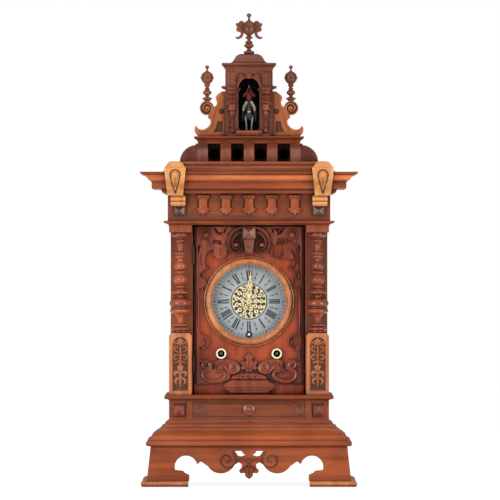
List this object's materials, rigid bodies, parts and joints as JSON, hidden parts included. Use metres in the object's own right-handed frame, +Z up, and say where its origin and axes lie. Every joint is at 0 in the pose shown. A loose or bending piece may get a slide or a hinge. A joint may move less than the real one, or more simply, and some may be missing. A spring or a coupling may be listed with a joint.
{
  "type": "automaton mantel clock",
  "caption": "Tall carved walnut mantel clock on bracket feet, with turned columns, a hinged dial door, a drawer, a slatted gallery and a turret niche that holds a bugler automaton.",
  "frame": {"origin": "centre of the footprint at the underside of the feet", "axes": "+Z up, the dial and door face -Y, +X to the right as seen from the front"},
  "size_m": [0.4552, 0.32, 0.9974],
  "materials": {
    "walnut": "oiled and waxed walnut",
    "walnut_light": "golden walnut, waxed",
    "walnut_dark": "dark stained inner wood",
    "brass": "brushed and lacquered brass",
    "steel": "polished tempered steel",
    "pewter": "matt silvered dial plate",
    "gilt": "pierced gilt hands",
    "bone": "pale bone-coloured ring",
    "figure_paint": "hand-painted figure"
  },
  "bodies": {
    "case": {"foot_pads": "walnut_light", "apron": "walnut", "base_moulding": "walnut", "drawer_case": "walnut", "shelf_board": "walnut", "pedestals": "walnut", "pedestal_carvings": "walnut_light", "columns": "walnut", "pilaster_boards": "walnut", "side_boards": "walnut", "back_frame": "walnut_dark", "door_hinges": "brass", "architrave": "walnut", "frieze": "walnut", "pendants": "walnut", "cornice": "walnut", "corbels": "walnut_light", "crown_board": "walnut", "gallery_ribs": "walnut", "turret_plinth": "walnut", "wings": "walnut_light", "side_finials": "walnut", "turret_body": "walnut", "turret_roof": "walnut", "top_finial": "walnut", "mounted_bugler": "figure_paint", "dial": "pewter", "movement_plates": "brass", "bellows_base": "walnut_dark", "wind_chest": "walnut_dark", "trumpets": "brass", "gong": "steel"},
    "drawer": {"drawer_box": "walnut_dark", "drawer_front": "walnut", "drawer_knob": "walnut_light"},
    "front_door": {"front_door": "walnut", "door_carving": "walnut", "crest": "walnut_dark", "bezel": "walnut_light", "winding_rings": "bone"},
    "back_door": {"back_door": "walnut_dark"},
    "latch": {"back_latch": "brass"},
    "minute_train": {"minute_hand": "gilt"},
    "centre": {"centre_wheel": "brass"},
    "hour_pipe": {"hour_hand": "gilt", "hour_wheel": "brass"},
    "motion_work": {"motion_wheel": "brass"},
    "going_barrel": {"going_wheel": "brass"},
    "third": {"third_wheel": "brass"},
    "escape": {"escape_wheel": "brass"},
    "pendulum": {"pendulum": "steel"},
    "going_winder": {"going_arbor": "steel"},
    "strike_winder": {"strike_arbor": "steel"},
    "music_winder": {"music_arbor": "steel"},
    "strike_barrel": {"strike_wheel": "brass"},
    "music_barrel": {"music_wheel": "brass"},
    "cylinder": {"music_cylinder": "walnut_dark"},
    "rocker": {"bellows_top": "walnut_dark"},
    "hammer": {"strike_hammer": "steel"},
    "arms": {"bugle_arms": "brass"}
  },
  "joints": [
    {"name": "drawer_slide", "type": "slide", "parent": "case", "child": "drawer", "axis": [0, -1, 0], "range_m": [0, 0.15]},
    {"name": "front_door_hinge", "type": "hinge", "parent": "case", "child": "front_door", "pos_m": [-0.117, -0.047, 0.37], "axis": [0, 0, -1], "range_deg": [0, 85]},
    {"name": "back_door_hinge", "type": "hinge", "parent": "case", "child": "back_door", "pos_m": [0.1285, 0.1576, 0.37], "axis": [0, 0, -1], "range_deg": [0, 95]},
    {"name": "latch_turn", "type": "hinge", "parent": "back_door", "child": "latch", "pos_m": [-0.111, 0.15, 0.3699], "axis": [0, 1, 0], "range_deg": [0, 90]},
    {"name": "minute_turn", "type": "hinge", "parent": "case", "child": "minute_train", "pos_m": [0, 0.02, 0.387], "axis": [0, 1, 0], "continuous": true},
    {"name": "hour_turn", "type": "hinge", "parent": "case", "child": "hour_pipe", "pos_m": [0, 0.02, 0.387], "axis": [0, 1, 0], "continuous": true},
    {"name": "motion_turn", "type": "hinge", "parent": "case", "child": "motion_work", "pos_m": [0, 0.02, 0.3678], "axis": [0, 1, 0], "continuous": true},
    {"name": "centre_turn", "type": "hinge", "parent": "case", "child": "centre", "pos_m": [0, 0.02, 0.387], "axis": [0, 1, 0], "continuous": true},
    {"name": "going_barrel_turn", "type": "hinge", "parent": "case", "child": "going_barrel", "pos_m": [0, 0.02, 0.31725], "axis": [0, 1, 0], "continuous": true},
    {"name": "third_turn", "type": "hinge", "parent": "case", "child": "third", "pos_m": [-0.0165, 0.02, 0.41558], "axis": [0, 1, 0], "continuous": true},
    {"name": "escape_turn", "type": "hinge", "parent": "case", "child": "escape", "pos_m": [0, 0.02, 0.43174], "axis": [0, 1, 0], "continuous": true},
    {"name": "pendulum_swing", "type": "hinge", "parent": "case", "child": "pendulum", "pos_m": [0, 0.02, 0.45875], "axis": [0, 1, 0], "range_deg": [-3, 3]},
    {"name": "going_winding", "type": "hinge", "parent": "case", "child": "going_winder", "pos_m": [0, 0.02, 0.31725], "axis": [0, 1, 0], "continuous": true},
    {"name": "strike_winding", "type": "hinge", "parent": "case", "child": "strike_winder", "pos_m": [-0.0587, 0.02, 0.277], "axis": [0, 1, 0], "continuous": true},
    {"name": "music_winding", "type": "hinge", "parent": "case", "child": "music_winder", "pos_m": [0.0587, 0.02, 0.277], "axis": [0, 1, 0], "continuous": true},
    {"name": "strike_barrel_turn", "type": "hinge", "parent": "case", "child": "strike_barrel", "pos_m": [-0.0587, 0.02, 0.277], "axis": [0, 1, 0], "continuous": true},
    {"name": "music_barrel_turn", "type": "hinge", "parent": "case", "child": "music_barrel", "pos_m": [0.0587, 0.02, 0.277], "axis": [0, 1, 0], "continuous": true},
    {"name": "cylinder_turn", "type": "hinge", "parent": "case", "child": "cylinder", "pos_m": [0.0587, 0.02, 0.349], "axis": [0, 1, 0], "continuous": true},
    {"name": "bellows_rock", "type": "hinge", "parent": "case", "child": "rocker", "pos_m": [0, 0.02, 0.2294], "axis": [0, 1, 0], "range_deg": [-2.5, 2.5]},
    {"name": "hammer_lift", "type": "hinge", "parent": "case", "child": "hammer", "pos_m": [-0.093, 0.02, 0.303], "axis": [0, 1, 0], "range_deg": [0, 12]},
    {"name": "bugle_lower", "type": "hinge", "parent": "case", "child": "arms", "pos_m": [0, 0.007, 0.8259], "axis": [1, 0, 0], "range_deg": [0, 35]}
  ],
  "couplings": [
    {"joint": "hour_turn", "follows": "minute_turn", "ratio": 0.083333},
    {"joint": "motion_turn", "follows": "minute_turn", "ratio": -0.33333},
    {"joint": "centre_turn", "follows": "minute_turn", "ratio": 1},
    {"joint": "going_barrel_turn", "follows": "minute_turn", "ratio": -0.10714},
    {"joint": "third_turn", "follows": "minute_turn", "ratio": -10},
    {"joint": "escape_turn", "follows": "minute_turn", "ratio": 100},
    {"joint": "cylinder_turn", "follows": "music_barrel_turn", "ratio": -1}
  ]
}
